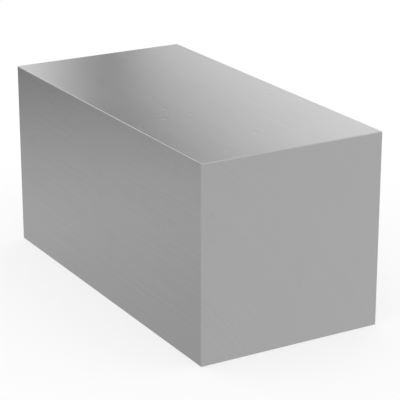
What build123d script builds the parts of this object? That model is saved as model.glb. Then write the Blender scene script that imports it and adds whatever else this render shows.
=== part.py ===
"""A short length of solid bright steel bar, square in section, lying on one of its long faces.

The bar is one piece. Its section was drawn through a die, which leaves the four long corners with a small
radius, and its two ends were cut square and deburred, which leaves a small flat bevel round each of them.

Millimetres. X runs along the bar's length, Z is up, and the origin is at the middle of the face it lies on.
"""

import os

from build123d import *

# Driving dimensions of the bar
bar_width = 50.0
bar_height = 50.0
bar_length = 100.0

# Edges: the drawn corners that run along the bar, and the deburred rims of its two cut ends
corner_radius = 0.2
end_bevel = 0.2

# The section, drawn out to the bar's length equally to both sides of the origin
with BuildPart() as bar:
    with BuildSketch(Plane.YZ) as section:
        Rectangle(bar_width, bar_height, align=(Align.CENTER, Align.MIN))
    extrude(amount=bar_length / 2, both=True)

    # The rims come before the corners, so that either can be the larger of the two
    cut_ends = bar.faces().filter_by(Axis.X)
    chamfer(cut_ends.edges(), length=end_bevel)

    long_corners = bar.edges().filter_by(Axis.X)
    fillet(long_corners, radius=corner_radius)

bar.part.label = "steel_bar"

os.makedirs("parts", exist_ok=True)
export_step(bar.part, "parts/steel_bar.step")
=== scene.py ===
"""The look of a short bright steel bar: its finish, the studio round it and the photograph's camera.

Metres and degrees, in the bar's own frame: X runs along its length, Z is up, and it lies on the floor
at Z = 0.
"""

from collections import namedtuple
from math import cos, radians, sin

import bpy
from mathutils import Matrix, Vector


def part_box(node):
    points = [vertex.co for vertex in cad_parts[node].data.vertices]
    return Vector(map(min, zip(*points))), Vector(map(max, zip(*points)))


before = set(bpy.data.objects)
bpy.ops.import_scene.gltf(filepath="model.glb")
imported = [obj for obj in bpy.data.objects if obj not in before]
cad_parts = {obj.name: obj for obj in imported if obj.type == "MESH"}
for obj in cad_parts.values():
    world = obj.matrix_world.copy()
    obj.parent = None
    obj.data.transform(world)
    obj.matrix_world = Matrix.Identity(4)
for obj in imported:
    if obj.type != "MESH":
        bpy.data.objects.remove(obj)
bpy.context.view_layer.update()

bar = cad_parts["steel_bar"]
bar_low, bar_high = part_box("steel_bar")
bar_middle = (bar_low + bar_high) / 2
bar_half_size = (bar_high - bar_low) / 2

mm = 0.001
micron = 0.000001
white = (1.0, 1.0, 1.0, 1.0)

# The camera: where it stands, seen from the point at the middle of the picture, and how long its lens is.
# Its azimuth is measured from -Y towards +X.
camera_azimuth = 59.91
camera_elevation = 19.23
camera_distance = 0.4365
camera_aim = Vector((0.00238, 0.00226, 0.02232))
lens_mm = 150.9
sensor_mm = 36.0

# The steel: how much light it gives back and how satin it is, before its marks change them
steel_grey = 0.4
satin_roughness = 0.2

# A mark on the steel: the size of its cells along the three axes, the shares by which it changes the
# steel's grey and roughness, and the height of its relief
Mark = namedtuple("Mark", "cell grey roughness height")

# The long faces: lines left by the die, drawn out along the bar
fine_die_lines = Mark(cell=Vector((50, 0.5, 0.5)) * mm, grey=0.055, roughness=0.08, height=0.05 * micron)
broad_die_lines = Mark(cell=Vector((200, 5, 5)) * mm, grey=0.012, roughness=0.03, height=0.1 * micron)

# The ends: lines left by the saw, in arcs about a point beside the bar and below it. Their cells are
# measured outwards from that point and then across the bar.
fine_saw_lines = Mark(cell=Vector((0.35, 40, 40)) * mm, grey=0.025, roughness=0.08, height=0.05 * micron)
broad_saw_lines = Mark(cell=Vector((5, 80, 80)) * mm, grey=0.008, roughness=0.05, height=0.1 * micron)
saw_centre = Vector((0, -110, -60)) * mm

# All faces: a few shallow dents, smears where their noise passes a level, and wide faint clouds
dents = Mark(cell=Vector((8, 8, 8)) * mm, grey=-0.03, roughness=0.1, height=-15 * micron)
dent_radius = 1 * mm
smears = Mark(cell=Vector((9, 6, 6)) * mm, grey=-0.012, roughness=0.08, height=0)
smear_level = 0.5
smear_rim = 0.7
clouds = Mark(cell=Vector((30, 20, 20)) * mm, grey=0.01, roughness=0.05, height=0)

# The edges: rubbed smoother by handling, over a width that wavers
rubbed_edge = Mark(cell=Vector((5, 5, 5)) * mm, grey=0.01, roughness=-0.1, height=0)
rubbed_width = 0.7 * mm
rubbed_waver = 0.23 * mm

# The noise of the marks: each finer layer of it is this share as strong as the last, and its levels, which
# crowd round a half, are spread to about -1 to 1
noise_layers = 3.0
layer_share = 0.65
noise_spread = 4.0
fine_seed = 1
broad_seed = 2
smear_seed = 5
cloud_seed = 6
edge_seed = 7

# A face is an end if its normal points along the bar by more than this share. The bevels' normals don't.
end_normal_share = 0.99

# The floor lies a hair below the bar, so that the two faces don't coincide. To the camera it is part plain
# white and part shaded, and the shaded share is how much of the bar's shadow shows.
floor_size = 12.0
floor_gap = 0.03 * mm
floor_grey = 0.86
shadow_share = 0.35

# The studio round the bar, as its faces reflect it. White light is 1, and each card covers those before it.
# Upwards from below come the floor near the bar, the open floor, a dark band at its rim, a grey wall, a
# bright dome and a dimmer ceiling. Azimuth is measured from the camera's side of the bar towards the
# camera's right, and elevation from the horizon.
floor_light = 0.865
near_floor_light = 0.69
near_floor_top = -21.1
near_floor_rim = 1.0
band_light = 0.22
band_foot = -15.8
band_rim = 4.0
wall_light = 0.6
wall_foot = -11.0
wall_rim = 3.0
dome_light = 1.4
dome_foot = 6.2
dome_rim = 2.0
ceiling_light = 1.15
ceiling_foot = 45.0
ceiling_rim = 8.0

# Dark gaps in the foot of the dome, evenly spaced round the bar. Seen from the bar, the left side of each
# stands upright, and its right side fans out to the right as it rises.
gap_light = 0.23
gap_spacing = 30.0
gap_middle = 3.0
gap_left = 5.0
gap_left_rim = 2.4
gap_right = 2.8
gap_right_foot = 13.3
gap_right_lean = -1.15
gap_right_fan = 1.29
gap_right_least_rise = 0.17
gap_right_most_rise = 6.0
gap_top = 31.0
gap_top_rim = 7.0

# A pale reflector in front of the bar and to the right of it, a little brighter on its right
reflector_left_light = 0.92
reflector_right_light = 1.0
reflector_middle = 63.0
reflector_blend = 8.0
reflector_azimuths = (-60.0, 90.0)
reflector_elevations = (-75.0, 6.0)
reflector_rim = 6.0


def add_node(tree, kind, inputs=None, **settings):
    """Adds a node with its settings, and gives each named input a value or another node's output."""
    made = tree.nodes.new(kind)
    for name, value in settings.items():
        setattr(made, name, value)
    for key, value in (inputs or {}).items():
        if isinstance(value, bpy.types.NodeSocket):
            tree.links.new(value, made.inputs[key])
        else:
            made.inputs[key].default_value = value
    return made


def calc(tree, operation, *values):
    """The result of one Math node."""
    return add_node(tree, "ShaderNodeMath", dict(enumerate(values)), operation=operation).outputs[0]


def calc_vector(tree, operation, *values):
    """The result of one Vector Math node: a number from a dot product or a distance, and else a vector."""
    made = add_node(tree, "ShaderNodeVectorMath", dict(enumerate(values)), operation=operation)
    return made.outputs["Value" if operation in ("DOT_PRODUCT", "DISTANCE") else "Vector"]


def split(tree, vector):
    """The three parts of a vector."""
    return add_node(tree, "ShaderNodeSeparateXYZ", {0: vector}).outputs


def soft_step(tree, value, middle, rim):
    """Rises smoothly from 0 to 1 as value passes middle, from a rim before it to a rim after it."""
    share = calc(tree, "DIVIDE", calc(tree, "SUBTRACT", value, middle), rim)
    limits = {"Value": share, "From Min": -1.0, "From Max": 1.0}
    return add_node(tree, "ShaderNodeMapRange", limits, interpolation_type="SMOOTHSTEP").outputs[0]


def soft_range(tree, value, low, high, rim):
    """1 where value lies between low and high, and 0 outside, with soft rims."""
    return calc(tree, "SUBTRACT", soft_step(tree, value, low, rim), soft_step(tree, value, high, rim))


def cover(tree, light, mask, card_light):
    """The light with a card over it where mask is 1, by a Mix node's factor and its two number inputs."""
    return add_node(tree, "ShaderNodeMix", {0: mask, 2: light, 3: card_light}).outputs[0]


def new_material(name):
    """A material with an empty node tree, and that tree."""
    material = bpy.data.materials.new(name)
    material.use_nodes = True
    material.node_tree.nodes.clear()
    return material, material.node_tree


def direction_of(azimuth, elevation):
    """The unit vector that points to an azimuth and elevation as the camera's are given."""
    a, e = radians(azimuth), radians(elevation)
    return Vector((sin(a) * cos(e), -cos(a) * cos(e), sin(e)))


def make_camera():
    """The photograph's camera."""
    data = bpy.data.cameras.new("camera")
    data.lens = lens_mm
    data.sensor_width = sensor_mm
    camera = bpy.data.objects.new("camera", data)
    backwards = direction_of(camera_azimuth, camera_elevation)
    camera.location = camera_aim + camera_distance * backwards
    camera.rotation_mode = "QUATERNION"
    camera.rotation_quaternion = (-backwards).to_track_quat("-Z", "Y")
    bpy.context.scene.collection.objects.link(camera)
    bpy.context.scene.camera = camera


def gap_mask(tree, azimuth, elevation):
    """1 in the dark gaps of the dome."""
    aside = calc(tree, "WRAP", azimuth, gap_middle + gap_spacing / 2, gap_middle - gap_spacing / 2)
    rise = calc(tree, "SUBTRACT", elevation, gap_right_foot)
    rise = calc(tree, "MAXIMUM", rise, gap_right_least_rise)
    rise = calc(tree, "MINIMUM", rise, gap_right_most_rise)
    right = calc(tree, "MULTIPLY_ADD", rise, gap_right_lean, gap_right)
    right_rim = calc(tree, "MULTIPLY", rise, gap_right_fan)
    from_right = soft_step(tree, aside, right, right_rim)
    past_left = soft_step(tree, aside, gap_left, gap_left_rim)
    inside = calc(tree, "MAXIMUM", calc(tree, "SUBTRACT", from_right, past_left), 0.0)
    above_foot = soft_step(tree, elevation, dome_foot, dome_rim)
    past_top = soft_step(tree, elevation, gap_top, gap_top_rim)
    return calc(tree, "MULTIPLY", inside, calc(tree, "SUBTRACT", above_foot, past_top))


def studio_light(tree, azimuth, elevation):
    """The studio's light from the direction of an azimuth and an elevation."""
    far_floor = soft_step(tree, elevation, near_floor_top, near_floor_rim)
    light = cover(tree, near_floor_light, far_floor, floor_light)
    light = cover(tree, light, soft_step(tree, elevation, band_foot, band_rim), band_light)
    light = cover(tree, light, soft_step(tree, elevation, wall_foot, wall_rim), wall_light)
    light = cover(tree, light, soft_step(tree, elevation, dome_foot, dome_rim), dome_light)
    light = cover(tree, light, gap_mask(tree, azimuth, elevation), gap_light)
    light = cover(tree, light, soft_step(tree, elevation, ceiling_foot, ceiling_rim), ceiling_light)
    across = soft_range(tree, azimuth, *reflector_azimuths, reflector_rim)
    upward = soft_range(tree, elevation, *reflector_elevations, reflector_rim)
    to_the_right = soft_step(tree, azimuth, reflector_middle, reflector_blend)
    reflected = cover(tree, reflector_left_light, to_the_right, reflector_right_light)
    return cover(tree, light, calc(tree, "MULTIPLY", across, upward), reflected)


def make_world():
    """The studio lights the bar and shows in its faces, and the camera itself sees white."""
    world = bpy.data.worlds.new("studio")
    world.use_nodes = True
    bpy.context.scene.world = world
    tree = world.node_tree
    tree.nodes.clear()
    direction = add_node(tree, "ShaderNodeTexCoord").outputs["Generated"]
    forward = direction_of(camera_azimuth, 0)
    right = Vector((-forward.y, forward.x, 0))
    ahead = calc_vector(tree, "DOT_PRODUCT", direction, forward)
    aside = calc_vector(tree, "DOT_PRODUCT", direction, right)
    upward = split(tree, direction)["Z"]
    azimuth = calc(tree, "DEGREES", calc(tree, "ARCTAN2", aside, ahead))
    elevation = calc(tree, "DEGREES", calc(tree, "ARCSINE", upward))

    light = studio_light(tree, azimuth, elevation)
    seen = add_node(tree, "ShaderNodeLightPath").outputs["Is Camera Ray"]
    lit = add_node(tree, "ShaderNodeBackground", {"Color": white, "Strength": light})
    plain = add_node(tree, "ShaderNodeBackground", {"Color": white, "Strength": 1.0})
    mix = add_node(tree, "ShaderNodeMixShader", {0: seen, 1: lit.outputs[0], 2: plain.outputs[0]})
    add_node(tree, "ShaderNodeOutputWorld", {"Surface": mix.outputs[0]})


def make_floor():
    """A white floor that keeps the bar's shadow.

    The metal reflects the studio's own floor instead. From below this floor is clear, so that the base of
    the bar shows.
    """
    half = floor_size / 2
    mesh = bpy.data.meshes.new("floor")
    corners = [(-half, -half, 0), (half, -half, 0), (half, half, 0), (-half, half, 0)]
    mesh.from_pydata(corners, [], [(0, 1, 2, 3)])
    floor = bpy.data.objects.new("floor", mesh)
    floor.location.z = bar_low.z - floor_gap
    floor.visible_glossy = False
    bpy.context.scene.collection.objects.link(floor)

    material, tree = new_material("floor")
    shade = add_node(tree, "ShaderNodeBsdfDiffuse", {"Color": (floor_grey, floor_grey, floor_grey, 1)})
    plain = add_node(tree, "ShaderNodeEmission", {"Color": white, "Strength": 1.0})
    seen = add_node(tree, "ShaderNodeLightPath").outputs["Is Camera Ray"]
    plain_share = calc(tree, "MULTIPLY", seen, 1 - shadow_share)
    top = add_node(tree, "ShaderNodeMixShader", {0: plain_share, 1: shade.outputs[0], 2: plain.outputs[0]})
    clear = add_node(tree, "ShaderNodeBsdfTransparent")
    below = add_node(tree, "ShaderNodeNewGeometry").outputs["Backfacing"]
    mix = add_node(tree, "ShaderNodeMixShader", {0: below, 1: top.outputs[0], 2: clear.outputs[0]})
    add_node(tree, "ShaderNodeOutputMaterial", {"Surface": mix.outputs[0]})
    mesh.materials.append(material)


def noise(tree, place, mark, seed):
    """A pattern mostly from -1 to 1, with cells of the mark's size along each axis of place."""
    cells = calc_vector(tree, "DIVIDE", place, mark.cell)
    inputs = {"Vector": cells, "W": seed, "Scale": 1.0, "Detail": noise_layers, "Roughness": layer_share}
    level = add_node(tree, "ShaderNodeTexNoise", inputs, noise_dimensions="4D").outputs["Fac"]
    return calc(tree, "MULTIPLY_ADD", level, noise_spread, -noise_spread / 2)


def dent_mask(tree, place):
    """1 at the middle of each of a few dents, strewn at random, falling to 0 at its rim."""
    cells = calc_vector(tree, "DIVIDE", place, dents.cell)
    inputs = {"Vector": cells, "Scale": 1.0, "Randomness": 1.0}
    distance = add_node(tree, "ShaderNodeTexVoronoi", inputs, voronoi_dimensions="3D").outputs["Distance"]
    half_radius = dent_radius / dents.cell.x / 2
    return calc(tree, "SUBTRACT", 1.0, soft_step(tree, distance, half_radius, half_radius))


def near_edge(tree, place):
    """1 on the bar's edges, falling to 0 about a rubbed width away.

    On the surface, the second smallest of a point's distances to the faces is its distance to the nearest
    edge.
    """
    from_middle = calc_vector(tree, "ABSOLUTE", calc_vector(tree, "SUBTRACT", place, bar_middle))
    x, y, z = split(tree, calc_vector(tree, "SUBTRACT", bar_half_size, from_middle))
    smaller = calc(tree, "MINIMUM", x, y)
    larger = calc(tree, "MAXIMUM", x, y)
    distance = calc(tree, "MAXIMUM", smaller, calc(tree, "MINIMUM", larger, z))
    half_width = rubbed_width / 2
    limit = calc(tree, "MULTIPLY_ADD", noise(tree, place, rubbed_edge, edge_seed), rubbed_waver, half_width)
    return calc(tree, "SUBTRACT", 1.0, soft_step(tree, distance, limit, half_width))


def make_steel(tree, place, lines):
    """Builds the steel's shader from the lines of its making, the marks of handling and rubbed edges."""
    smear_noise = noise(tree, place, smears, smear_seed)
    marked = list(lines)
    marked.append((dents, dent_mask(tree, place)))
    marked.append((smears, soft_step(tree, smear_noise, smear_level, smear_rim)))
    marked.append((clouds, noise(tree, place, clouds, cloud_seed)))
    marked.append((rubbed_edge, near_edge(tree, place)))

    grey = steel_grey
    roughness = satin_roughness
    height = 0.0
    for mark, pattern in marked:
        grey = calc(tree, "MULTIPLY_ADD", pattern, mark.grey * steel_grey, grey)
        roughness = calc(tree, "MULTIPLY_ADD", pattern, mark.roughness * satin_roughness, roughness)
        if mark.height:
            height = calc(tree, "MULTIPLY_ADD", pattern, mark.height, height)
    relief = add_node(tree, "ShaderNodeBump", {"Strength": 1.0, "Distance": 1.0, "Height": height})
    inputs = {"Metallic": 1.0, "Base Color": grey, "Roughness": roughness, "Normal": relief.outputs[0]}
    shader = add_node(tree, "ShaderNodeBsdfPrincipled", inputs)
    add_node(tree, "ShaderNodeOutputMaterial", {"Surface": shader.outputs[0]})


def make_drawn_steel():
    """The long faces and the edges, with the die's lines along them."""
    material, tree = new_material("drawn_steel")
    place = add_node(tree, "ShaderNodeTexCoord").outputs["Object"]
    fine = noise(tree, place, fine_die_lines, fine_seed)
    broad = noise(tree, place, broad_die_lines, broad_seed)
    make_steel(tree, place, [(fine_die_lines, fine), (broad_die_lines, broad)])
    return material


def make_sawn_steel():
    """The ends, with the saw's lines across them in wide arcs."""
    material, tree = new_material("sawn_steel")
    place = add_node(tree, "ShaderNodeTexCoord").outputs["Object"]
    on_the_end = calc_vector(tree, "MULTIPLY", place, Vector((0, 1, 1)))
    outwards = calc_vector(tree, "DISTANCE", on_the_end, saw_centre)
    across = split(tree, place)["Y"]
    arcs = add_node(tree, "ShaderNodeCombineXYZ", {"X": outwards, "Y": across}).outputs[0]
    fine = noise(tree, arcs, fine_saw_lines, fine_seed)
    broad = noise(tree, arcs, broad_saw_lines, broad_seed)
    make_steel(tree, place, [(fine_saw_lines, fine), (broad_saw_lines, broad)])
    return material


def dress_bar():
    """Gives the two ends the sawn steel, and all other faces the drawn steel."""
    bar.data.materials.clear()
    bar.data.materials.append(make_drawn_steel())
    bar.data.materials.append(make_sawn_steel())
    for face in bar.data.polygons:
        face.material_index = 1 if abs(face.normal.x) > end_normal_share else 0


dress_bar()
make_floor()
make_world()
make_camera()
bpy.context.scene.view_settings.view_transform = "Standard"
